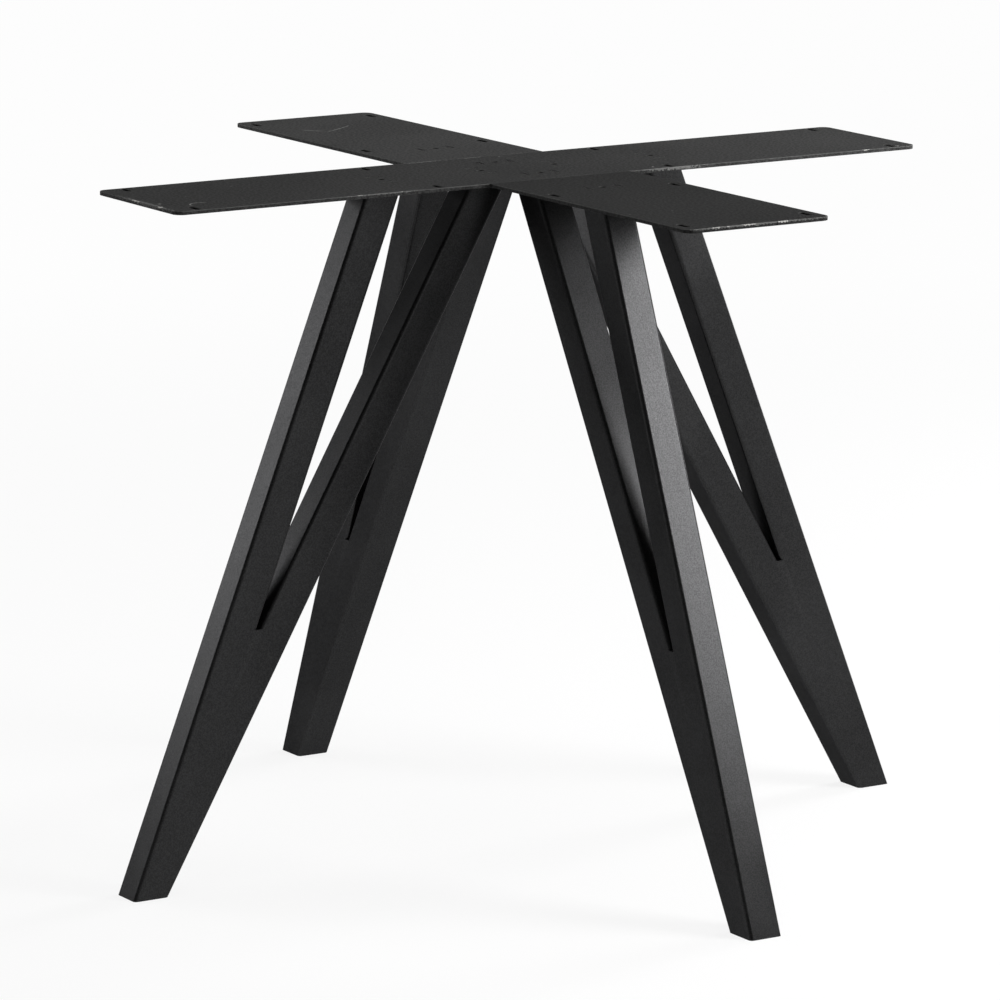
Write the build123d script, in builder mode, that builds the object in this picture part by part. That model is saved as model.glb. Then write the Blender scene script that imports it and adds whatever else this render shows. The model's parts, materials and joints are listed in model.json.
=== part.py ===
"""Welded steel table base: a flat cross of plate strips on four slotted V legs.

Units are millimetres. Z is up and the floor is Z = 0, with the origin under the middle of the
cross. The long strip runs along Y, and the two short strips run along X, which is also the
direction of every screw slot. Each leg stands under one arm of the cross and is drawn in the
upright plane of that arm, as r, the distance from the middle, and z, the height.
"""
import os
from math import atan, cos, degrees, radians, sin

from build123d import *

# Overall form
height = 720.0
plate_thickness = 4.0
strip_length = 900.0
strip_width = 170.0
strip_corner = 10.0

# Screw slots in the strips, all long in X
slot_length = 20.0
slot_width = 7.0
slot_from_edge = 12.5
slot_from_end = 27.0
long_strip_inner_slot = 141.0
short_strip_inner_slot = 188.0

# Square tube of the legs
tube_size = 38.0
tube_wall = 2.0
tube_corner = 4.0

# Legs: how far out the outer face stands at the floor and under the plate, how deep a foot is
# from its outer to its inner face, and how far out the inner face starts under the plate
foot_outer = 472.0
foot_depth = 40.0
top_outer = 190.0
top_inner = 20.0

# Vent hole over each tube, and the tabs of the tube's side walls, which flank it in the plate
outer_vent = 165.0
inner_vent = 45.0
tab_length = 16.0
tab_gap = 0.25
tab_recess = 0.3
vent_diameter = 8.0

# Closing plates and welds
foot_plate_thickness = 3.0
notch_width = 4.0
bead = 3.0
bead_end_gap = 6.0
seam_depth = 2.0
seam_crown = 0.8

leg_turns = {"right": 0, "back": 90, "left": 180, "front": 270}

# Worked out from the sizes above
underside = height - plate_thickness
foot_inner = foot_outer - foot_depth
outer_slope = (foot_outer - top_outer) / underside
inner_slope = (foot_inner - top_inner) / underside
outer_lean = atan(outer_slope)
inner_lean = atan(inner_slope)
outer_cut = tube_size / cos(outer_lean)
inner_cut = tube_size / cos(inner_lean)
mean_lean = (outer_lean + inner_lean) / 2
apex_z = (foot_inner + inner_cut - foot_outer + outer_cut) / (inner_slope - outer_slope)
apex_r = foot_outer - outer_cut - outer_slope * apex_z
notch_z = apex_z + notch_width / (inner_slope - outer_slope)
outer_middle = top_outer - outer_cut / 2
inner_middle = top_inner + inner_cut / 2
tube_run = underside / cos(inner_lean) + 2 * tube_size
wall_middle = (tube_size - tube_wall) / 2


def arm_plane(turn, z=0.0):
    """Level plane at height z, with its X axis outward along an arm."""
    return Plane(
        origin=(0, 0, z),
        x_dir=(cos(radians(turn)), sin(radians(turn)), 0),
        z_dir=(0, 0, 1),
    )


def leg_plane(turn):
    """Upright plane of a leg: X is r, outward along the arm, and Y is the height."""
    return Plane(
        origin=(0, 0, 0),
        x_dir=(cos(radians(turn)), sin(radians(turn)), 0),
        z_dir=(sin(radians(turn)), -cos(radians(turn)), 0),
    )


def point_on(turn, r, z):
    """A point in the upright plane of a leg, in the base's own frame."""
    return Vector(r * cos(radians(turn)), r * sin(radians(turn)), z)


def tube_plane(turn, middle_r, lean):
    """Plane across a tube, square to its axis, that starts below the floor."""
    up = Vector(-sin(lean) * cos(radians(turn)), -sin(lean) * sin(radians(turn)), cos(lean))
    start = point_on(turn, middle_r, 0) - up * tube_size
    across = Vector(-sin(radians(turn)), cos(radians(turn)), 0)
    return Plane(origin=start, x_dir=across, z_dir=up)


def meeting_plane(turn):
    """Plane along which the two tubes of a leg are mitred together, facing outward."""
    outward = Vector(
        cos(mean_lean) * cos(radians(turn)), cos(mean_lean) * sin(radians(turn)), sin(mean_lean)
    )
    return Plane(origin=point_on(turn, apex_r, apex_z), z_dir=outward)


def tube(turn, middle_r, lean, outer, hollow=True):
    """One tube of a leg, cut under the plate, at the floor and along the mitre."""
    with BuildPart() as length:
        with BuildSketch(tube_plane(turn, middle_r, lean)):
            RectangleRounded(tube_size, tube_size, tube_corner)
            if hollow:
                bore = tube_size - 2 * tube_wall
                RectangleRounded(bore, bore, tube_corner - tube_wall, mode=Mode.SUBTRACT)
        extrude(amount=tube_run)
        split(bisect_by=Plane.XY.offset(underside), keep=Keep.BOTTOM)
        split(bisect_by=Plane.XY, keep=Keep.TOP)
        split(bisect_by=meeting_plane(turn), keep=Keep.TOP if outer else Keep.BOTTOM)
    return length.part


def outer_tube(turn, hollow=True):
    return tube(turn, foot_outer - outer_cut / 2, outer_lean, True, hollow)


def inner_tube(turn, hollow=True):
    return tube(turn, foot_inner + inner_cut / 2, inner_lean, False, hollow)


def tube_with_tabs(turn, tube_part, middle):
    """A leg tube with the tab that each side wall carries up into the plate."""
    with BuildPart() as tabbed:
        add(tube_part)
        with BuildSketch(arm_plane(turn, underside)):
            with Locations((middle, wall_middle), (middle, -wall_middle)):
                Rectangle(tab_length, tube_wall)
        extrude(amount=plate_thickness - tab_recess)
    return tabbed.part


def foot_plate(turn):
    """Plate that closes the leg at the floor, inside both tubes."""
    outer_wall = tube_wall / cos(outer_lean)
    inner_wall = tube_wall / cos(inner_lean)
    with BuildPart() as plate:
        with BuildSketch(leg_plane(turn)):
            with BuildLine():
                Polyline(
                    (foot_inner + inner_wall, 0),
                    (foot_outer - outer_wall, 0),
                    (foot_outer - outer_wall - outer_slope * foot_plate_thickness, foot_plate_thickness),
                    (foot_inner + inner_wall - inner_slope * foot_plate_thickness, foot_plate_thickness),
                    close=True,
                )
            make_face()
        extrude(amount=tube_size / 2 - tube_wall, both=True)
        upright = plate.edges().filter_by(
            lambda e: abs(e.tangent_at(0).Z) > 0.5
        )
        fillet(upright, radius=tube_corner - tube_wall)
    return plate.part


def slot_weld(turn):
    """Weld at the foot of the V slot, ground flush, which also fills the corner grooves below it."""
    groove_run = 1.1 * tube_corner / sin((inner_lean - outer_lean) / 2)
    low_z = apex_z - groove_run * cos(mean_lean)
    low_r = apex_r + groove_run * sin(mean_lean)
    half = tube_corner + notch_width / 2
    top_r = foot_outer - outer_cut - outer_slope * notch_z - notch_width / 2
    with BuildPart() as weld:
        with BuildSketch(leg_plane(turn)):
            with BuildLine():
                Polyline(
                    (low_r - tube_corner, low_z),
                    (low_r + tube_corner, low_z),
                    (top_r + half, notch_z),
                    (top_r - half, notch_z),
                    close=True,
                )
            make_face()
        extrude(amount=tube_size / 2, both=True)
        add(outer_tube(turn, hollow=False), mode=Mode.SUBTRACT)
        add(inner_tube(turn, hollow=False), mode=Mode.SUBTRACT)
    return weld.part


def tube_welds(turn):
    """Fillet welds that hold the tubes of one leg under the plate."""
    with BuildPart() as welds:
        for middle, cut, slope in (
            (outer_middle, outer_cut, outer_slope),
            (inner_middle, inner_cut, inner_slope),
        ):
            start = middle - cut / 2 + bead_end_gap + slope * bead
            run = cut - 2 * bead_end_gap - slope * bead
            for side in (1, -1):
                with BuildSketch(Plane(
                    origin=point_on(turn, start, 0),
                    x_dir=(-side * sin(radians(turn)), side * cos(radians(turn)), 0),
                    z_dir=(side * cos(radians(turn)), side * sin(radians(turn)), 0),
                )):
                    with BuildLine():
                        Polyline(
                            (tube_size / 2, underside),
                            (tube_size / 2 + bead, underside),
                            (tube_size / 2, underside - bead),
                            close=True,
                        )
                    make_face()
                extrude(amount=side * run)
            face_r = middle + cut / 2
            with BuildSketch(leg_plane(turn)):
                with BuildLine():
                    Polyline(
                        (face_r, underside),
                        (face_r + bead + slope * bead, underside),
                        (face_r + slope * bead, underside - bead),
                        close=True,
                    )
                make_face()
            extrude(amount=tube_size / 2 - bead_end_gap, both=True)
    return welds.part


def cut_prong_openings(turn):
    """Cut the vent hole and the two tab slots over each tube of one arm."""
    with BuildSketch(arm_plane(turn, underside)) as openings:
        for middle in (outer_vent, inner_vent):
            with Locations((middle, wall_middle), (middle, -wall_middle)):
                Rectangle(tab_length + 2 * tab_gap, tube_wall + 2 * tab_gap)
            with Locations((middle, 0)):
                Circle(vent_diameter / 2)
    extrude(openings.sketch, amount=plate_thickness, mode=Mode.SUBTRACT)


def cut_screw_slots(places):
    """Cut one screw slot, long in X, at each place."""
    with BuildSketch(Plane.XY.offset(underside)) as slots:
        with Locations(*places):
            SlotOverall(slot_length, slot_width)
    extrude(slots.sketch, amount=plate_thickness, mode=Mode.SUBTRACT)


def seam_groove(side, mode):
    """V groove under the joint between the long strip and a short one."""
    joint = side * strip_width / 2
    with BuildSketch(Plane.XZ) as groove:
        with BuildLine():
            Polyline(
                (joint - seam_depth, underside),
                (joint + seam_depth, underside),
                (joint, underside + seam_depth),
                close=True,
            )
        make_face()
    extrude(groove.sketch, amount=strip_width / 2, both=True, mode=mode)


slot_across = strip_width / 2 - slot_from_edge
slot_along = strip_length / 2 - slot_from_end

with BuildPart() as long_strip:
    with BuildSketch(Plane.XY.offset(underside)):
        RectangleRounded(strip_width, strip_length, strip_corner)
    extrude(amount=plate_thickness)
    cut_screw_slots([
        (x, y)
        for x in (-slot_across, slot_across)
        for y in (-slot_along, -long_strip_inner_slot, long_strip_inner_slot, slot_along)
    ])
    for turn in leg_turns.values():
        cut_prong_openings(turn)
    for side in (1, -1):
        seam_groove(side, Mode.SUBTRACT)

short_strips = {}
for name, side in (("right", 1), ("left", -1)):
    with BuildPart() as short_strip:
        with BuildSketch(Plane.XY.offset(underside)):
            short_length = (strip_length - strip_width) / 2
            with Locations((side * (strip_width + short_length) / 2, 0)):
                Rectangle(short_length, strip_width)
        extrude(amount=plate_thickness)
        free_end = short_strip.edges().filter_by(Axis.Z).sort_by(Axis.X)
        fillet(free_end[-2:] if side > 0 else free_end[:2], radius=strip_corner)
        cut_screw_slots([
            (side * x, y)
            for x in (short_strip_inner_slot, slot_along)
            for y in (-slot_across, slot_across)
        ])
        cut_prong_openings(leg_turns[name])
        seam_groove(side, Mode.SUBTRACT)
    short_strips[name] = short_strip.part

seam_welds = {}
for name, side in (("right", 1), ("left", -1)):
    with BuildPart() as seam_weld:
        seam_groove(side, Mode.ADD)
        joint = side * strip_width / 2
        with BuildSketch(Plane.XZ):
            with BuildLine():
                Line((joint - seam_depth, underside), (joint + seam_depth, underside))
                ThreePointArc(
                    (joint - seam_depth, underside),
                    (joint, underside - seam_crown),
                    (joint + seam_depth, underside),
                )
            make_face()
        extrude(amount=strip_width / 2, both=True)
    seam_welds[name] = seam_weld.part

pieces = {"long_strip": long_strip.part}
for name in short_strips:
    pieces[name + "_strip"] = short_strips[name]
    pieces[name + "_seam_weld"] = seam_welds[name]
for name, turn in leg_turns.items():
    pieces[name + "_outer_tube"] = tube_with_tabs(turn, outer_tube(turn), outer_vent)
    pieces[name + "_inner_tube"] = tube_with_tabs(turn, inner_tube(turn), inner_vent)
    pieces[name + "_foot_plate"] = foot_plate(turn)
    pieces[name + "_slot_weld"] = slot_weld(turn)
    pieces[name + "_tube_welds"] = tube_welds(turn)

os.makedirs("parts", exist_ok=True)
for name, piece in pieces.items():
    piece.label = name
    export_step(piece, "parts/" + name + ".step")
print("slot foot at", round(notch_z, 1), "and slot apex at", round(apex_z, 1))
print("legs lean", round(degrees(outer_lean), 2), "and", round(degrees(inner_lean), 2))
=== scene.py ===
"""Looks of the steel table base: coated strips, tubes and welds, and a plain studio."""
import json
import math

import bmesh
import bpy
from bpy.props import FloatProperty, FloatVectorProperty, PointerProperty
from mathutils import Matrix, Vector


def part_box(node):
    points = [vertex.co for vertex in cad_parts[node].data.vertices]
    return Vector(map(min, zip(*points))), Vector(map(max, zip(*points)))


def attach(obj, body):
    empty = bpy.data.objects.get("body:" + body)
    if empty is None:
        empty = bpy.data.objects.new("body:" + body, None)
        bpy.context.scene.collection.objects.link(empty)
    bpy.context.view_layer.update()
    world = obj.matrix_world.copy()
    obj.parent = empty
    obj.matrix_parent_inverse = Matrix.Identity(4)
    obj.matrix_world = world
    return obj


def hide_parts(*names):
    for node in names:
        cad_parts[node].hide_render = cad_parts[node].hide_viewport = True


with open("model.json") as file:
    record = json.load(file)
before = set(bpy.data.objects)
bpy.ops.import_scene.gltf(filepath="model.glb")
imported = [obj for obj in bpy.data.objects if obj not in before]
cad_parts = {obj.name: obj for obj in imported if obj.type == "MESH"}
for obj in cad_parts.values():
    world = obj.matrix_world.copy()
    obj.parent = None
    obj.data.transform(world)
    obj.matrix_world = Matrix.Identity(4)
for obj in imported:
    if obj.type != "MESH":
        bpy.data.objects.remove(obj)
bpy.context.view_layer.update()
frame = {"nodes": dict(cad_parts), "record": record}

bl_info = {
    "name": "Steel table base",
    "version": (1, 0, 0),
    "blender": (4, 5, 0),
    "location": "View3D > Sidebar > Table base",
    "description": "Builds the strips, welds and coating of a steel table base around its frame",
    "category": "Object",
}

BODY = "root"
LEGS = {"right": 0, "back": 90, "left": 180, "front": 270}
MOUNTS = {mount["name"]: mount for mount in frame["record"]["mounts"]}

STRIP_LOW, STRIP_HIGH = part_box("long_strip")
STRIP_TOP = STRIP_HIGH.z
STRIP_UNDER = STRIP_LOW.z
STRIP_HALF_WIDTH = STRIP_HIGH.x
STRIP_HALF_LENGTH = STRIP_HIGH.y
TUBE_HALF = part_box("right_outer_tube")[1].y
TUBE_WALL = 0.002
NOTCH_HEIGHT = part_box("right_slot_weld")[1].z

# Width of each slanted tube where it meets its strip, along the arm.
TUBE_SPAN = {"right_outer_tube": 0.0408, "right_inner_tube": 0.0438}

MM = 0.001
# Cutters are this deep, and a block cutter stands this far past the strip.
CUTTER_DEPTH = 0.05
CUT_PAST = 0.01
# A level face has a normal with at least this much Z, and a hole's wall has less than this.
LEVEL_NORMAL = 0.999
WALL_NORMAL = 0.97

# Tone of each place against the strips' or the tubes' own colour. The right strip's darker tone is
# painted shade, the left strip's lighter tone is painted light, and the holes' dark tone is
# painted shade.
RIGHT_STRIP_PAINTED_SHADE = 0.72
LEFT_STRIP_PAINTED_LIGHT = 1.30
HOLE_PAINTED_SHADE = 0.08
GROUND_WELD_TONE = 1.1
# Light and dark of the grain, how much of a rub shows, and how much of the lighter rim shows,
# which is worn coat and also a painted highlight along the strips' top edges.
TUBE_CONTRAST = 0.25
STRIP_CONTRAST = 0.42
RUB_STRENGTH = 0.5
RIM_WEAR_AND_HIGHLIGHT = 0.35
# Share of the gloss that the tubes' coat has, and how metallic a chip is.
TUBE_GLOSS = 0.25
CHIP_METAL = 0.8


class CoatSettings(bpy.types.PropertyGroup):
    """Powder coat of the steel."""

    strip_colour: FloatVectorProperty(
        name="Strip colour", description="Coat on the plate strips", subtype="COLOR",
        size=3, min=0, max=1, default=(0.032, 0.032, 0.0317))
    tube_colour: FloatVectorProperty(
        name="Tube colour", description="Coat on the leg tubes", subtype="COLOR",
        size=3, min=0, max=1, default=(0.030, 0.030, 0.0306))
    grain: FloatProperty(
        name="Grain", description="Width of one grain of the fine texture",
        subtype="DISTANCE", unit="LENGTH", min=0.0002, max=0.01, default=0.0013)
    strip_grain: FloatProperty(
        name="Strip grain", description="Width of one grain of the coarser coat on the strips",
        subtype="DISTANCE", unit="LENGTH", min=0.0002, max=0.01, default=0.0030)
    grain_height: FloatProperty(
        name="Grain height", description="Height of the fine texture",
        subtype="DISTANCE", unit="LENGTH", min=0, max=0.001, default=0.00005)
    strip_roughness: FloatProperty(
        name="Strip roughness", description="Roughness of the coat on the strips",
        min=0, max=1, default=0.78)
    tube_roughness: FloatProperty(
        name="Tube roughness", description="Roughness of the coat on the tubes",
        min=0, max=1, default=0.31)
    gloss: FloatProperty(
        name="Gloss", description="Specular level of the coat", min=0, max=1, default=0.08)
    flake: FloatProperty(
        name="Metal flake", description="Share of metal flake in the coat of the tubes",
        min=0, max=1, default=0.80)
    flake_edge: FloatProperty(
        name="Flake at the rim", description="Share of the flake's shine left at a low angle",
        min=0, max=1, default=0.4)


class WearSettings(bpy.types.PropertyGroup):
    """Bare metal and scuffs that show on the strips, and the light colour of the painted highlight
    on their top edges.
    """

    metal_colour: FloatVectorProperty(
        name="Bare metal", description="Steel where the coat is chipped", subtype="COLOR",
        size=3, min=0, max=1, default=(0.42, 0.415, 0.40))
    # This colour also makes the painted highlight along the strips' top edges.
    scuff_and_highlight_colour: FloatVectorProperty(
        name="Scuff", description="Rubbed coat along scratches and seams", subtype="COLOR",
        size=3, min=0, max=1, default=(0.20, 0.20, 0.195))


class PlateSettings(bpy.types.PropertyGroup):
    """Form of the plate strips."""

    corner: FloatProperty(
        name="Corner", description="Radius of the strips' free corners",
        subtype="DISTANCE", unit="LENGTH", min=0, max=0.05, default=0.010)
    edge: FloatProperty(
        name="Edge", description="Rounding that the coat gives every plate edge",
        subtype="DISTANCE", unit="LENGTH", min=0, max=0.002, default=0.0004)
    outer_vent: FloatProperty(
        name="Outer vent", description="Distance out to the vent over an outer tube",
        subtype="DISTANCE", unit="LENGTH", min=0.1, max=0.2, default=0.165)
    inner_vent: FloatProperty(
        name="Inner vent", description="Distance out to the vent over an inner tube",
        subtype="DISTANCE", unit="LENGTH", min=0.03, max=0.1, default=0.045)
    vent: FloatProperty(
        name="Vent", description="Diameter of a vent hole",
        subtype="DISTANCE", unit="LENGTH", min=0.002, max=0.02, default=0.008)
    tab_length: FloatProperty(
        name="Tab slot", description="Length of the slot that a tube's tab fills",
        subtype="DISTANCE", unit="LENGTH", min=0.005, max=0.03, default=0.0168)
    tab_width: FloatProperty(
        name="Tab slot width", description="Width of the slot that a tube's tab fills",
        subtype="DISTANCE", unit="LENGTH", min=0.001, max=0.01, default=0.0029)


class WeldSettings(bpy.types.PropertyGroup):
    """Rippled beads under the strips."""

    bead: FloatProperty(
        name="Bead", description="Leg of a fillet bead",
        subtype="DISTANCE", unit="LENGTH", min=0.001, max=0.008, default=0.003)
    pitch: FloatProperty(
        name="Pitch", description="Distance from ripple to ripple",
        subtype="DISTANCE", unit="LENGTH", min=0.0005, max=0.005, default=0.0014)
    skin: FloatProperty(
        name="Skin", description="Voxel of the remeshed bead",
        subtype="DISTANCE", unit="LENGTH", min=0.0003, max=0.002, default=0.0005)


class StudioSettings(bpy.types.PropertyGroup):
    """Camera, lamps and floor."""

    azimuth: FloatProperty(
        name="Azimuth", description="Camera's turn round the base, from the front",
        subtype="ANGLE", unit="ROTATION", default=math.radians(58.2))
    elevation: FloatProperty(
        name="Elevation", description="Camera's height angle", subtype="ANGLE",
        unit="ROTATION", default=math.radians(11.42))
    distance: FloatProperty(
        name="Distance", description="Camera's distance from its aim", subtype="DISTANCE",
        unit="LENGTH", min=1, max=20, default=6.293)
    aim: FloatVectorProperty(
        name="Aim", description="Point in the middle of the picture", subtype="XYZ",
        unit="LENGTH", default=(-0.0094, -0.0151, 0.3663))
    lens: FloatProperty(
        name="Lens", description="Focal length in mm on a 36 mm wide frame",
        min=10, max=500, default=215.1)
    sky: FloatProperty(
        name="Sky", description="Light of the studio walls", min=0, max=2, default=0.06)
    floor_colour: FloatVectorProperty(
        name="Floor", description="Floor as the camera sees it", subtype="COLOR",
        size=3, min=0, max=1, default=(0.93, 0.93, 0.93))


def settings():
    """The scene, which holds the settings of this file."""
    return bpy.context.scene


def tinted(colour, tone):
    """A colour made darker or lighter."""
    return [tone * channel for channel in colour]


def deselect():
    """Leave nothing selected, and no object in edit mode."""
    if bpy.context.mode != "OBJECT":
        bpy.ops.object.mode_set(mode="OBJECT")
    bpy.ops.object.select_all(action="DESELECT")


def only(obj):
    """Select one object and make it the active one."""
    deselect()
    obj.select_set(True)
    bpy.context.view_layer.objects.active = obj


def edit_where(obj, verts=None, faces=None, edges=None):
    """Open an object in edit mode with the chosen kind of element selected by place."""
    only(obj)
    kind = "VERT" if verts else "FACE" if faces else "EDGE"
    bpy.ops.object.mode_set(mode="EDIT")
    bpy.ops.mesh.select_mode(type=kind)
    bpy.ops.mesh.select_all(action="DESELECT")
    mesh = bmesh.from_edit_mesh(obj.data)
    for vert in mesh.verts if verts else ():
        vert.select_set(bool(verts(vert)))
    for face in mesh.faces if faces else ():
        face.select_set(bool(faces(face)))
    for edge in mesh.edges if edges else ():
        edge.select_set(bool(edges(edge)))
    mesh.select_flush_mode()
    bmesh.update_edit_mesh(obj.data)


def settle(obj):
    """Put the object's place into its mesh."""
    only(obj)
    bpy.ops.object.transform_apply(location=True, rotation=True, scale=True)


def block(name, low, high):
    """A box from its lowest to its highest corner."""
    low, high = Vector(low), Vector(high)
    deselect()
    bpy.ops.mesh.primitive_cube_add(size=1, location=(low + high) / 2)
    obj = bpy.context.object
    obj.name = obj.data.name = name
    obj.scale = high - low
    settle(obj)
    return obj


def join(objects, name):
    """Join objects into the first of them."""
    deselect()
    for obj in objects:
        obj.select_set(True)
    bpy.context.view_layer.objects.active = objects[0]
    if len(objects) > 1:
        bpy.ops.object.join()
    objects[0].name = objects[0].data.name = name
    return objects[0]


def turned_copy(obj, name, turn):
    """A copy with its own mesh, turned round the middle of the base."""
    only(obj)
    bpy.ops.object.duplicate()
    copy = bpy.context.object
    copy.rotation_euler.z = math.radians(turn)
    settle(copy)
    copy.name = copy.data.name = name
    return copy


def apply_modifier(obj, kind, **values):
    """Add a modifier with its values and apply it."""
    only(obj)
    modifier = obj.modifiers.new(kind.lower(), kind)
    for key, value in values.items():
        setattr(modifier, key, value)
    bpy.ops.object.modifier_apply(modifier=modifier.name)


def cut_away(obj, cutter):
    """Cut one closed mesh out of another."""
    apply_modifier(obj, "BOOLEAN", operation="DIFFERENCE", solver="EXACT", object=cutter)
    bpy.data.objects.remove(cutter)


def slot_cutter(x, y, length, width):
    """Upright cutter of a screw slot, long in X."""
    deselect()
    sides = 28
    # Turned by half a facet, so no corner lies on the middle line between its two ends.
    bpy.ops.mesh.primitive_cylinder_add(
        vertices=sides, radius=width / 2, depth=CUTTER_DEPTH, location=(x, y, STRIP_TOP),
        rotation=(0, 0, math.pi / sides))
    obj = bpy.context.object
    settle(obj)
    for side in (1, -1):
        edit_where(obj, verts=lambda vert: (vert.co.x - x) * side > 0)
        bpy.ops.transform.translate(value=(side * (length - width) / 2, 0, 0))
        bpy.ops.object.mode_set(mode="OBJECT")
    return obj


def vent_cutter(x, y, diameter):
    """Upright cutter of a vent hole."""
    deselect()
    bpy.ops.mesh.primitive_cylinder_add(
        vertices=32, radius=diameter / 2, depth=CUTTER_DEPTH, location=(x, y, STRIP_TOP))
    settle(bpy.context.object)
    return bpy.context.object


def on_arm(turn, out, across):
    """A point that lies out along an arm and across it."""
    c, s = math.cos(math.radians(turn)), math.sin(math.radians(turn))
    return round(out * c - across * s, 7), round(out * s + across * c, 7)


def opening_cutters(inside):
    """Cutters of every slot, vent and tab slot whose middle passes the test."""
    plate = settings().plate
    cutters = []
    for name, mount in MOUNTS.items():
        if not name.endswith("_slots"):
            continue
        size = mount["dims"]
        for sx in (1, -1):
            for sy in (1, -1):
                x = sx * size["spacing_x_mm"] / 2 * MM
                y = sy * size["spacing_y_mm"] / 2 * MM
                if inside(x, y):
                    cutters.append(slot_cutter(
                        x, y, size["slot_length_mm"] * MM, 2 * size["hole_r_mm"] * MM))
    wall_middle = TUBE_HALF - TUBE_WALL / 2
    for turn in LEGS.values():
        for out in (plate.outer_vent, plate.inner_vent):
            x, y = on_arm(turn, out, 0)
            if not inside(x, y):
                continue
            cutters.append(vent_cutter(x, y, plate.vent))
            for side in (1, -1):
                x, y = on_arm(turn, out, side * wall_middle)
                along, across = plate.tab_length / 2, plate.tab_width / 2
                dx, dy = (along, across) if turn % 180 == 0 else (across, along)
                cutters.append(block(
                    "tab_cutter", (x - dx, y - dy, STRIP_UNDER - CUT_PAST),
                    (x + dx, y + dy, STRIP_TOP + CUT_PAST)))
    return join(cutters, "cutters")


def plate_strip(name, free_ends, inside):
    """One plate strip with round free corners, its openings and softened edges."""
    plate = settings().plate
    low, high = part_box(name)
    obj = block(name + "_coated", low, high)
    edit_where(obj, edges=lambda edge: abs(edge.verts[0].co.z - edge.verts[1].co.z) > MM
               and free_ends(edge.verts[0].co))
    bpy.ops.mesh.bevel(offset=plate.corner, segments=10, affect="EDGES")
    bpy.ops.object.mode_set(mode="OBJECT")
    cut_away(obj, opening_cutters(inside))
    apply_modifier(obj, "BEVEL", width=plate.edge, segments=3, limit_method="ANGLE",
                   angle_limit=math.radians(40), use_clamp_overlap=True)
    edit_where(obj, verts=lambda vert: True)
    bpy.ops.mesh.faces_shade_smooth()
    bpy.ops.object.mode_set(mode="OBJECT")
    edit_where(obj, faces=lambda face: abs(face.normal.z) > LEVEL_NORMAL)
    bpy.ops.mesh.faces_shade_flat()
    bpy.ops.object.mode_set(mode="OBJECT")
    return obj


def shade_hole_walls(obj, name, material):
    """Give the walls of a strip's holes a dark coat of their own: painted shade for the dark
    inside of each hole.
    """
    low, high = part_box(name)
    margin = 3 * MM
    obj.data.materials.append(material)
    edit_where(obj, faces=lambda face: abs(face.normal.z) < WALL_NORMAL and all(
        low[axis] + margin < face.calc_center_median()[axis] < high[axis] - margin
        for axis in (0, 1)))
    obj.active_material_index = len(obj.data.materials) - 1
    bpy.ops.object.material_slot_assign()
    bpy.ops.object.mode_set(mode="OBJECT")


def bead_chain(start, end, radius, pitch, flat=1.0):
    """Row of overlapping ripples from one point to another."""
    start, end = Vector(start), Vector(end)
    run = end - start
    count = max(2, round(run.length / pitch))
    deselect()
    bpy.ops.mesh.primitive_uv_sphere_add(
        segments=16, ring_count=10, radius=radius, location=start)
    obj = bpy.context.object
    obj.scale.z = flat
    settle(obj)
    apply_modifier(obj, "ARRAY", fit_type="FIXED_COUNT", count=count,
                   use_relative_offset=False, use_constant_offset=True,
                   constant_offset_displace=run / (count - 1))
    return obj


def one_skin(obj, name):
    """Fuse overlapping ripples to one skin, cut level under the strips."""
    weld = settings().weld
    on_plane, doubles = 0.02 * MM, 0.05 * MM
    apply_modifier(obj, "REMESH", mode="VOXEL", voxel_size=weld.skin)
    edit_where(obj, verts=lambda vert: True)
    bpy.ops.mesh.bisect(plane_co=(0, 0, STRIP_UNDER), plane_no=(0, 0, 1), use_fill=False,
                        clear_outer=True, threshold=on_plane)
    bpy.ops.mesh.select_all(action="SELECT")
    bpy.ops.mesh.remove_doubles(threshold=doubles)
    bpy.ops.mesh.dissolve_degenerate(threshold=on_plane)
    bpy.ops.mesh.fill_holes(sides=0)
    bpy.ops.object.mode_set(mode="OBJECT")
    obj.name = obj.data.name = name
    only(obj)
    bpy.ops.object.shade_smooth_by_angle(angle=math.radians(60))
    return obj


def dress(obj, material, slot, *replaced):
    """Give a new piece its material, hang it on the body, and hide the CAD parts it stands for."""
    obj.data.materials.clear()
    obj.data.materials.append(material)
    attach(obj, BODY)
    if replaced:
        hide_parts(*replaced)


class Nodes:
    """Short words for adding nodes to one node tree."""

    def __init__(self, tree):
        self.tree = tree

    def feed(self, socket, value):
        """Link a socket to another, or set its value."""
        if isinstance(value, bpy.types.NodeSocket):
            self.tree.links.new(value, socket)
        else:
            socket.default_value = value

    def add(self, kind, inputs=None, **values):
        node = self.tree.nodes.new(kind)
        for key, value in values.items():
            setattr(node, key, value)
        for key, value in (inputs or {}).items():
            self.feed(node.inputs[key], value)
        return node

    def math(self, operation, a, b=0.0):
        return self.add("ShaderNodeMath", {0: a, 1: b}, operation=operation).outputs[0]

    def vector(self, operation, a, b=(0, 0, 0)):
        node = self.add("ShaderNodeVectorMath", {0: a, 1: b}, operation=operation)
        return node.outputs[1 if operation == "LENGTH" else 0]

    def mix(self, factor, a, b):
        node = self.add("ShaderNodeMix", {0: factor, 6: a, 7: b}, data_type="RGBA")
        return node.outputs[2]

    def ramp(self, value, low, high, to_low=0.0, to_high=1.0):
        node = self.add("ShaderNodeMapRange", {0: value, 1: low, 2: high, 3: to_low, 4: to_high},
                        interpolation_type="SMOOTHSTEP")
        return node.outputs[0]


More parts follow.
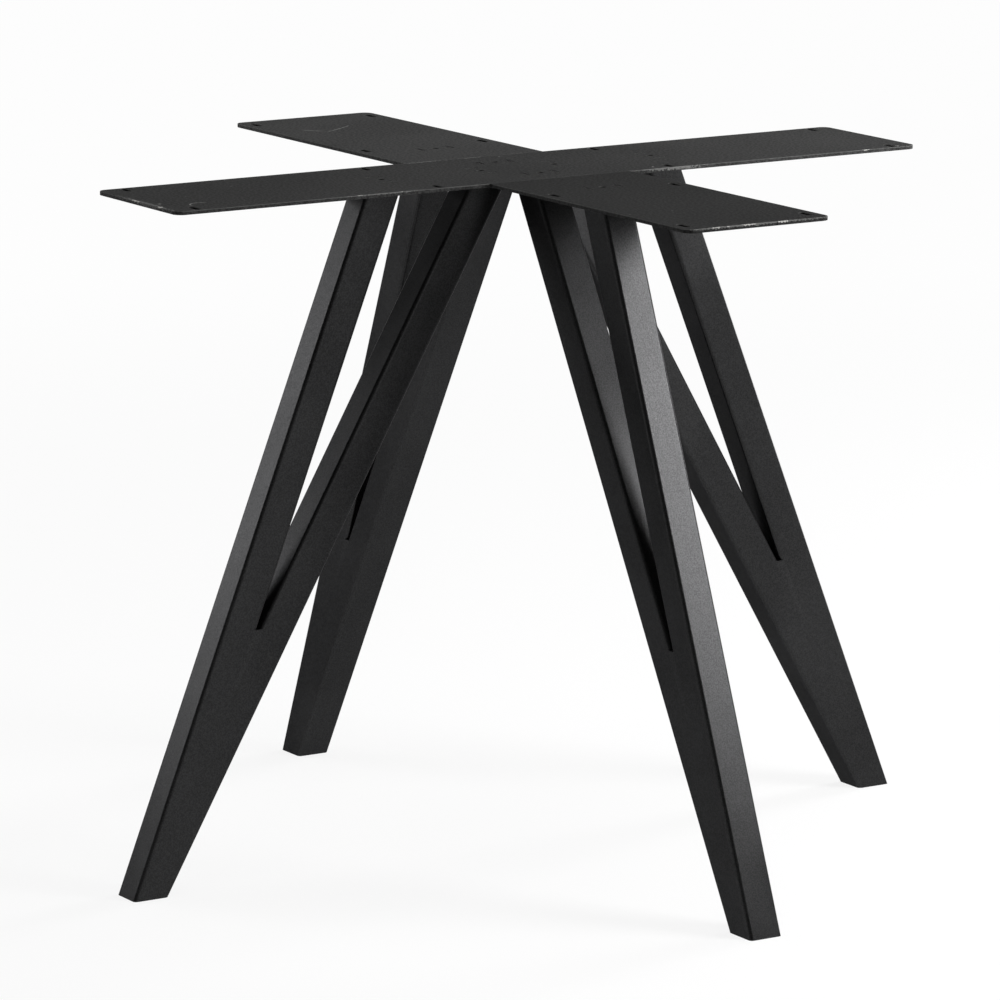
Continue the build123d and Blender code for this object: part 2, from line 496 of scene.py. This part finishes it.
def group(name, inputs, outputs, fill):
    """A shader node group, built once and found again by its name."""
    tree = bpy.data.node_groups.get(name)
    if tree:
        return tree
    tree = bpy.data.node_groups.new(name, "ShaderNodeTree")
    for label, kind, default in inputs:
        socket = tree.interface.new_socket(label, in_out="INPUT", socket_type=kind)
        socket.default_value = default
    for label, kind in outputs:
        tree.interface.new_socket(label, in_out="OUTPUT", socket_type=kind)
    nodes = Nodes(tree)
    start = nodes.add("NodeGroupInput")
    end = nodes.add("NodeGroupOutput")
    for label, value in fill(nodes, start.outputs).items():
        tree.links.new(value, end.inputs[label])
    return tree


def coat_group():
    """Fine-texture powder coat: colour, roughness and height of the grain."""

    def fill(nodes, given):
        scale = nodes.math("DIVIDE", 1.0, given["Grain"])
        fine = nodes.add("ShaderNodeTexNoise", {
            "Vector": given["Vector"], "Scale": scale, "Detail": 3.0, "Roughness": 0.6})
        cloud = nodes.add("ShaderNodeTexNoise", {
            "Vector": given["Vector"], "Scale": 9.0, "Detail": 2.0, "Roughness": 0.5})
        speck_place = nodes.add("ShaderNodeTexVoronoi", {
            "Vector": given["Vector"], "Scale": nodes.math("DIVIDE", 0.16, given["Grain"])})
        speck = nodes.ramp(speck_place.outputs["Distance"], 0.10, 0.03)
        rare = nodes.ramp(nodes.add("ShaderNodeSeparateColor", {
            0: speck_place.outputs["Color"]}).outputs[0], 0.90, 0.96)
        dust = nodes.math("MULTIPLY", nodes.math("MULTIPLY", speck, rare), given["Dust"])
        tone = nodes.math("ADD", nodes.ramp(
            fine.outputs[0], 0.34, 0.66, nodes.math("SUBTRACT", 1.0, given["Contrast"]),
            nodes.math("ADD", 1.0, given["Contrast"])),
                          nodes.ramp(cloud.outputs[0], 0.3, 0.7, -0.09, 0.09))
        shade = nodes.vector("MULTIPLY", given["Colour"], nodes.add(
            "ShaderNodeCombineXYZ", {0: tone, 1: tone, 2: tone}).outputs[0])
        colour = nodes.mix(dust, shade, (0.25, 0.25, 0.24, 1))
        rough = nodes.math("ADD", given["Roughness"], nodes.ramp(
            cloud.outputs[0], 0.3, 0.7, -0.03, 0.03))
        height = nodes.math("MULTIPLY", fine.outputs[0], given["Grain height"])
        return {"Colour": colour, "Roughness": rough, "Height": height}

    return group("fine_texture_coat", [
        ("Vector", "NodeSocketVector", (0, 0, 0)), ("Colour", "NodeSocketColor", (0, 0, 0, 1)),
        ("Grain", "NodeSocketFloat", 0.0016), ("Grain height", "NodeSocketFloat", 0.0001),
        ("Roughness", "NodeSocketFloat", 0.5), ("Dust", "NodeSocketFloat", 0.5),
        ("Contrast", "NodeSocketFloat", 0.2),
    ], [("Colour", "NodeSocketColor"), ("Roughness", "NodeSocketFloat"),
        ("Height", "NodeSocketFloat")], fill)


def chip_group():
    """A ragged chip round one place: 1 inside, 0 outside."""

    def fill(nodes, given):
        away = nodes.vector("DIVIDE", nodes.vector("SUBTRACT", given["Vector"], given["Place"]),
                            given["Size"])
        ragged = nodes.add("ShaderNodeTexNoise", {
            "Vector": given["Vector"], "Scale": 420.0, "Detail": 3.0})
        reach = nodes.math("ADD", nodes.vector("LENGTH", away), nodes.ramp(
            ragged.outputs[0], 0.3, 0.7, -0.55, 0.55))
        return {"Mask": nodes.ramp(reach, 0.95, 0.70)}

    return group("coat_chip", [
        ("Vector", "NodeSocketVector", (0, 0, 0)), ("Place", "NodeSocketVector", (0, 0, 0)),
        ("Size", "NodeSocketVector", (0.01, 0.01, 0.01))], [("Mask", "NodeSocketFloat")], fill)


def arc_group():
    """A fine curved scratch on the level face: part of a circle."""

    def fill(nodes, given):
        away = nodes.vector("SUBTRACT", given["Vector"], given["Middle"])
        level = nodes.vector("MULTIPLY", away, (1, 1, 0))
        off = nodes.math("ABSOLUTE", nodes.math("SUBTRACT", nodes.vector("LENGTH", level),
                                                given["Radius"]))
        line = nodes.ramp(nodes.math("DIVIDE", off, given["Width"]), 1.0, 0.3)
        near = nodes.vector("LENGTH", nodes.vector("SUBTRACT", given["Vector"], given["Near"]))
        part = nodes.ramp(nodes.math("DIVIDE", near, given["Reach"]), 1.0, 0.8)
        broken = nodes.add("ShaderNodeTexNoise", {"Vector": given["Vector"], "Scale": 160.0})
        mask = nodes.math("MULTIPLY", nodes.math("MULTIPLY", line, part), nodes.ramp(
            broken.outputs[0], 0.35, 0.6, 0.35, 1.0))
        return {"Mask": mask}

    return group("curved_scratch", [
        ("Vector", "NodeSocketVector", (0, 0, 0)), ("Middle", "NodeSocketVector", (0, 0, 0)),
        ("Radius", "NodeSocketFloat", 0.05), ("Width", "NodeSocketFloat", 0.0013),
        ("Near", "NodeSocketVector", (0, 0, 0)), ("Reach", "NodeSocketFloat", 0.03),
    ], [("Mask", "NodeSocketFloat")], fill)


def worn_spot(nodes, place, spot, size):
    """Mask of one chip or rub in a material."""
    return nodes.add("ShaderNodeGroup", {"Vector": place, "Place": spot, "Size": size},
                     node_tree=chip_group()).outputs[0]


def coated_material(name, colour, roughness, flake=0.0, chips=(), scratches=(), rubs=(),
                    painted_light_ramp=None, dust=0.5, gloss=1.0):
    """Powder-coated steel with its own chips, scratches and rubbed places.

    chips and rubs hold (place, size), scratches (middle, radius, near, reach), and the tone ramp
    (axis, low, high, tone at low, tone at high) is a slow change of tone along the piece: painted
    light and shade."""
    coat, wear = settings().coat, settings().wear
    material = bpy.data.materials.new(name)
    material.use_nodes = True
    tree = material.node_tree
    tree.nodes.clear()
    nodes = Nodes(tree)
    place = nodes.add("ShaderNodeTexCoord").outputs["Object"]
    base = (*colour, 1)
    # Painted light and shade: the coat's tone ramps lighter or darker along one axis of the piece.
    if painted_light_ramp:
        axis, low, high, tone_low, tone_high = painted_light_ramp
        part = nodes.add("ShaderNodeSeparateXYZ", {0: place}).outputs[axis]
        tone = nodes.ramp(part, low, high, tone_low, tone_high)
        base = nodes.vector("MULTIPLY", tuple(colour), nodes.add(
            "ShaderNodeCombineXYZ", {0: tone, 1: tone, 2: tone}).outputs[0])
    surface = nodes.add("ShaderNodeGroup", {
        "Vector": place, "Colour": base, "Grain": coat.grain if flake else coat.strip_grain,
        "Grain height": coat.grain_height, "Roughness": roughness, "Dust": dust,
        "Contrast": TUBE_CONTRAST if flake else STRIP_CONTRAST}, node_tree=coat_group())
    tint = surface.outputs["Colour"]
    scuff_and_highlight = (*wear.scuff_and_highlight_colour, 1)
    if not flake:
        # The strip's rounded top edge is mixed toward the scuff colour: partly worn coat, partly a
        # painted highlight.
        height = nodes.add("ShaderNodeSeparateXYZ", {0: place}).outputs[2]
        level = nodes.add("ShaderNodeSeparateXYZ", {
            0: nodes.add("ShaderNodeNewGeometry").outputs["Normal"]}).outputs[2]
        rim = nodes.math(
            "MULTIPLY", nodes.ramp(height, STRIP_TOP - 1.2 * MM, STRIP_TOP - 0.4 * MM),
            nodes.ramp(level, 0.985, 0.90))
        tint = nodes.mix(nodes.math("MULTIPLY", rim, RIM_WEAR_AND_HIGHLIGHT), tint, scuff_and_highlight)
    bare = None
    for spot, size in rubs:
        rub = nodes.math("MULTIPLY", worn_spot(nodes, place, spot, size), RUB_STRENGTH)
        tint = nodes.mix(rub, tint, scuff_and_highlight)
    for middle, radius, near, reach in scratches:
        scratch = nodes.add("ShaderNodeGroup", {
            "Vector": place, "Middle": middle, "Radius": radius, "Near": near,
            "Reach": reach}, node_tree=arc_group())
        tint = nodes.mix(scratch.outputs[0], tint, scuff_and_highlight)
    for spot, size in chips:
        chip = worn_spot(nodes, place, spot, size)
        bare = chip if bare is None else nodes.math("MAXIMUM", bare, chip)
    if bare is not None:
        tint = nodes.mix(bare, tint, (*wear.metal_colour, 1))
    bump = nodes.add("ShaderNodeBump", {
        "Height": surface.outputs["Height"], "Strength": 1.0, "Distance": 1.0})
    shader = nodes.add("ShaderNodeBsdfPrincipled", {
        "Base Color": tint, "Roughness": surface.outputs["Roughness"],
        "Normal": bump.outputs[0], "Metallic": flake,
        "Specular IOR Level": (TUBE_GLOSS if flake else gloss) * coat.gloss,
        "Specular Tint": (*[coat.flake_edge if flake else 1.0] * 3, 1)})
    if bare is not None:
        metal = nodes.math("MAXIMUM", nodes.math("MULTIPLY", bare, CHIP_METAL), flake)
        tree.links.new(metal, shader.inputs["Metallic"])
    nodes.add("ShaderNodeOutputMaterial", {"Surface": shader.outputs[0]})
    return material


def long_strip_wear():
    """Chips and scuffs of the long strip, as (place, size) on its top and edges."""
    top, end, side = STRIP_TOP, STRIP_HALF_LENGTH, STRIP_HALF_WIDTH
    chips = [
        ((-0.004, -end, top), (0.0045, 0.003, 0.0009)),
        ((0.003, -end, top), (0.0025, 0.002, 0.0008)),
        ((0.030, -end + 0.010, top), (0.0012, 0.002, 0.0008)),
        ((0.049, -end, top), (0.0035, 0.003, 0.0009)),
        ((side, -0.240, top), (0.0012, 0.003, 0.0008)),
        ((side, -0.190, top), (0.0014, 0.0025, 0.0009)),
        ((side, 0.384, top), (0.0014, 0.004, 0.0010)),
        ((0.078, end - 0.020, top), (0.002, 0.002, 0.0008)),
        ((0.072, 0.122, top), (0.003, 0.0015, 0.0008)),
    ]
    rubs = [
        ((0.020, -end, top), (0.060, 0.004, 0.003)),
        ((side, -0.210, top), (0.0010, 0.042, 0.0013)),
        ((side, 0.135, top), (0.0014, 0.042, 0.0022)),
        ((side, 0.150, top - 0.002), (0.0012, 0.022, 0.0016)),
        ((-side, -0.060, top), (0.004, 0.030, 0.002)),
        ((-side, -0.005, top), (0.004, 0.012, 0.002)),
    ]
    scratches = [((0.055, -0.404, top), 0.013, (0.046, -0.409, top), 0.015)]
    return chips, rubs, scratches


class BASE_OT_strips(bpy.types.Operator):
    """Build the three coated plate strips of the cross"""

    bl_idname = "base.strips"
    bl_label = "Plate strips"

    def execute(self, context):
        coat = context.scene.coat
        half, end = STRIP_HALF_WIDTH, STRIP_HALF_LENGTH
        chips, rubs, scratches = long_strip_wear()
        # The long strip's coat gets lighter towards its back end: painted light.
        long_coat = coated_material(
            "long_strip_coat", coat.strip_colour, coat.strip_roughness,
            chips=chips, scratches=scratches, rubs=rubs,
            painted_light_ramp=(1, -0.1, 0.45, 1.0, 1.33), dust=0.7, gloss=0.85)
        long_strip = plate_strip("long_strip", lambda co: True, lambda x, y: abs(x) < half)
        dress(long_strip, long_coat, "plate_coat", "long_strip")
        # The holes' walls get a near-black coat with little gloss: painted shade inside the holes.
        hole_shade_coat = coated_material("hole_shade_coat", tinted(coat.strip_colour, HOLE_PAINTED_SHADE),
                                    coat.strip_roughness, dust=0.0, gloss=0.05)
        shade_hole_walls(long_strip, "long_strip", hole_shade_coat)
        # The right strip's coat is a darker, less glossy copy of the same coat: painted shade.
        right_shaded_coat = coated_material(
            "right_strip_shaded_coat", tinted(coat.strip_colour, RIGHT_STRIP_PAINTED_SHADE),
            coat.strip_roughness,
            chips=[((end, -0.051, STRIP_TOP), (0.0025, 0.0045, 0.0011)),
                   ((end, -0.038, STRIP_TOP), (0.0015, 0.0015, 0.0008)),
                   ((end, -0.014, STRIP_TOP), (0.0025, 0.0085, 0.0011)),
                   ((end, 0.027, STRIP_TOP), (0.0030, 0.0065, 0.0013))],
            rubs=[((end, -0.01, STRIP_TOP), (0.003, 0.09, 0.0018))], dust=0.4, gloss=0.7)
        right_strip = plate_strip("right_strip", lambda co: co.x > 2 * half,
                                  lambda x, y: x > half)
        left_strip = turned_copy(right_strip, "left_strip_coated", 180)
        dress(right_strip, right_shaded_coat, "plate_coat", "right_strip")
        shade_hole_walls(right_strip, "right_strip", hole_shade_coat)
        # The left strip's coat is a lighter, glossier copy of the same coat, and lighter still
        # towards its outer end: painted light.
        left_lit_coat = coated_material(
            "left_strip_lit_coat", tinted(coat.strip_colour, LEFT_STRIP_PAINTED_LIGHT),
            coat.strip_roughness,
            scratches=[((-0.5946, -0.176, STRIP_TOP), 0.2956, (-0.350, -0.010, STRIP_TOP), 0.028),
                       ((-0.531, 0.198, STRIP_TOP), 0.300, (-0.352, -0.043, STRIP_TOP), 0.014)],
            painted_light_ramp=(0, -0.45, -0.1, 1.1, 1.0), dust=0.7, gloss=1.1)
        dress(left_strip, left_lit_coat, "plate_coat", "left_strip")
        shade_hole_walls(left_strip, "left_strip", hole_shade_coat)
        return {"FINISHED"}


class BASE_OT_tubes(bpy.types.Operator):
    """Coat the leg tubes, their foot plates and the ground slot welds"""

    bl_idname = "base.tubes"
    bl_label = "Leg tubes"

    def execute(self, context):
        coat = context.scene.coat
        for leg, turn in LEGS.items():
            out = (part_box(leg + "_slot_weld")[0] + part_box(leg + "_slot_weld")[1]) / 2
            reach = math.hypot(out.x, out.y)
            pinholes = [((*on_arm(turn, reach - 0.010, side * TUBE_HALF), NOTCH_HEIGHT - 0.012),
                         (0.0018, 0.0018, 0.0018)) for side in (1, -1)]
            tubes = coated_material(leg + "_tube_coat", coat.tube_colour, coat.tube_roughness,
                                    coat.flake, rubs=pinholes, dust=0.12)
            welds = coated_material(
                leg + "_slot_weld_coat", tinted(coat.tube_colour, GROUND_WELD_TONE),
                coat.tube_roughness, coat.flake,
                chips=[((*on_arm(turn, reach - 0.001, side * TUBE_HALF), NOTCH_HEIGHT),
                        (0.0035, 0.0035, 0.0010)) for side in (1, -1)], dust=0.1)
            for piece, material in (("_outer_tube", tubes), ("_inner_tube", tubes),
                                    ("_foot_plate", tubes), ("_slot_weld", welds)):
                node = frame["nodes"][leg + piece]
                node.data.materials.clear()
                node.data.materials.append(material)
        return {"FINISHED"}


class BASE_OT_welds(bpy.types.Operator):
    """Lay the rippled beads that join the tubes and strips underneath"""

    bl_idname = "base.welds"
    bl_label = "Weld beads"

    def execute(self, context):
        weld = context.scene.weld
        coat = context.scene.coat
        bead_coat = coated_material("bead_coat", coat.tube_colour, coat.tube_roughness, coat.flake,
                                    dust=0.0)
        radius = weld.bead
        chains = []
        for tube, span in TUBE_SPAN.items():
            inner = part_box(tube)[0].x
            outer = inner + span
            for side in (1, -1):
                chains.append(bead_chain(
                    (inner + 2 * radius, side * TUBE_HALF, STRIP_UNDER),
                    (outer - 2 * radius, side * TUBE_HALF, STRIP_UNDER), radius, weld.pitch))
            chains.append(bead_chain(
                (outer, TUBE_HALF - 2 * radius, STRIP_UNDER),
                (outer, 2 * radius - TUBE_HALF, STRIP_UNDER), radius, weld.pitch))
        beads = one_skin(join(chains, "beads"), "right_tube_beads")
        pieces = {leg: turned_copy(beads, leg + "_tube_beads", turn) if turn else beads
                  for leg, turn in LEGS.items()}
        for leg, piece in pieces.items():
            dress(piece, bead_coat, "weld_coat", leg + "_tube_welds")
        reach = STRIP_HALF_WIDTH - radius
        seam = bead_chain((STRIP_HALF_WIDTH, -reach, STRIP_UNDER),
                          (STRIP_HALF_WIDTH, reach, STRIP_UNDER), radius, weld.pitch, flat=0.3)
        seam = one_skin(seam, "right_seam_bead")
        left_seam = turned_copy(seam, "left_seam_bead", 180)
        dress(seam, bead_coat, "weld_coat", "right_seam_weld")
        dress(left_seam, bead_coat, "weld_coat", "left_seam_weld")
        return {"FINISHED"}


# Name, turn from the camera and height angle in degrees, distance, size and watts.
LAMPS = (
    ("key", 72, 23, 1.9, (0.7, 0.75), 32),
    ("fill", -116, 11, 4.0, (1.5, 0.9), 36),
    ("rim", 132, 20, 3.4, (0.8, 2.0), 56),
    ("edge", 130, 1, 3.0, (0.5, 0.6), 30),
    ("top", 0, 89, 3.0, (2.0, 2.0), 44),
)


def towards(azimuth, elevation):
    """Direction from the base to a lamp or the camera."""
    return Vector((math.sin(azimuth) * math.cos(elevation),
                   -math.cos(azimuth) * math.cos(elevation), math.sin(elevation)))


def lamp(name, azimuth, elevation, distance, size, power, aim=(0, 0, 0.4)):
    """A soft box that looks at the base."""
    away = towards(math.radians(azimuth), math.radians(elevation))
    deselect()
    bpy.ops.object.light_add(type="AREA", location=Vector(aim) + away * distance)
    obj = bpy.context.object
    obj.name = name
    obj.data.shape = "RECTANGLE"
    obj.data.size, obj.data.size_y = size
    obj.data.energy = power
    obj.rotation_euler = away.to_track_quat("Z", "Y").to_euler()


class BASE_OT_studio(bpy.types.Operator):
    """Set up the pale floor, the soft light and the camera"""

    bl_idname = "base.studio"
    bl_label = "Studio"

    def execute(self, context):
        studio = context.scene.studio
        deselect()
        bpy.ops.mesh.primitive_plane_add(size=60)
        floor = context.object
        floor.name = "floor"
        floor.data.materials.append(floor_material(studio.floor_colour))
        context.scene.world = studio_world(studio.sky)
        turn = math.degrees(studio.azimuth)
        for name, side, elevation, distance, size, power in LAMPS:
            lamp(name, turn + side, elevation, distance, size, power)
        away = towards(studio.azimuth, studio.elevation)
        bpy.ops.object.camera_add(location=Vector(studio.aim) + away * studio.distance)
        camera = context.object
        camera.name = "photo_camera"
        camera.rotation_euler = away.to_track_quat("Z", "Y").to_euler()
        camera.data.lens = studio.lens
        camera.data.sensor_width = 36
        camera.data.clip_end = 100
        context.scene.camera = camera
        context.scene.view_settings.view_transform = "Standard"
        return {"FINISHED"}


def seen_directly(nodes):
    """1 for what the camera sees, straight or in a reflection."""
    path = nodes.add("ShaderNodeLightPath").outputs
    return nodes.math("MAXIMUM", path["Is Camera Ray"], nodes.math(
        "MAXIMUM", path["Is Glossy Ray"], path["Is Transmission Ray"]))


def floor_material(colour):
    """Pale floor that the camera sees lighter than the light it sends back."""
    material = bpy.data.materials.new("pale_floor")
    material.use_nodes = True
    material.node_tree.nodes.clear()
    nodes = Nodes(material.node_tree)
    place = nodes.add("ShaderNodeTexCoord").outputs["Object"]
    share = nodes.ramp(nodes.vector("LENGTH", place), 0.6, 4.0, 0.86, 0.98)
    matt = nodes.add("ShaderNodeBsdfDiffuse", {"Color": (*colour, 1)})
    glow = nodes.add("ShaderNodeEmission", {"Color": (1, 1, 1, 1), "Strength": 1.0})
    lifted = nodes.add("ShaderNodeMixShader", {
        0: nodes.math("MULTIPLY", seen_directly(nodes), share),
        1: matt.outputs[0], 2: glow.outputs[0]})
    nodes.add("ShaderNodeOutputMaterial", {"Surface": lifted.outputs[0]})
    return material


def studio_world(strength):
    """White studio wall up to a low height, with a dim room above it."""
    world = bpy.data.worlds.new("studio")
    world.use_nodes = True
    world.node_tree.nodes.clear()
    nodes = Nodes(world.node_tree)
    height = nodes.add("ShaderNodeSeparateXYZ", {
        0: nodes.add("ShaderNodeTexCoord").outputs["Generated"]}).outputs[2]
    wall = nodes.ramp(height, 0.09, 0.15, 1.0, 0.0)
    seen = nodes.math("MULTIPLY", seen_directly(nodes), wall)
    soft = nodes.add("ShaderNodeBackground", {"Color": (1, 1, 1, 1), "Strength": strength})
    white = nodes.add("ShaderNodeBackground", {"Color": (1, 1, 1, 1), "Strength": 1.0})
    mixed = nodes.add("ShaderNodeMixShader", {0: seen, 1: soft.outputs[0], 2: white.outputs[0]})
    nodes.add("ShaderNodeOutputWorld", {"Surface": mixed.outputs[0]})
    return world


class BASE_PT_panel(bpy.types.Panel):
    """Lists the steps that build the base"""

    bl_label = "Table base"
    bl_idname = "BASE_PT_panel"
    bl_space_type = "VIEW_3D"
    bl_region_type = "UI"
    bl_category = "Table base"

    def draw(self, context):
        for operator in (BASE_OT_strips, BASE_OT_tubes, BASE_OT_welds, BASE_OT_studio):
            self.layout.operator(operator.bl_idname)


SETTINGS = {"coat": CoatSettings, "wear": WearSettings, "plate": PlateSettings,
            "weld": WeldSettings, "studio": StudioSettings}
CLASSES = (*SETTINGS.values(), BASE_OT_strips, BASE_OT_tubes, BASE_OT_welds, BASE_OT_studio,
           BASE_PT_panel)


def register():
    for cls in CLASSES:
        bpy.utils.register_class(cls)
    for name, cls in SETTINGS.items():
        setattr(bpy.types.Scene, name, PointerProperty(type=cls))


def unregister():
    for name in SETTINGS:
        delattr(bpy.types.Scene, name)
    for cls in reversed(CLASSES):
        bpy.utils.unregister_class(cls)


def main():
    register()
    deselect()
    bpy.ops.base.strips()
    bpy.ops.base.tubes()
    bpy.ops.base.welds()
    bpy.ops.base.studio()
    deselect()


if __name__ == "__main__":
    main()
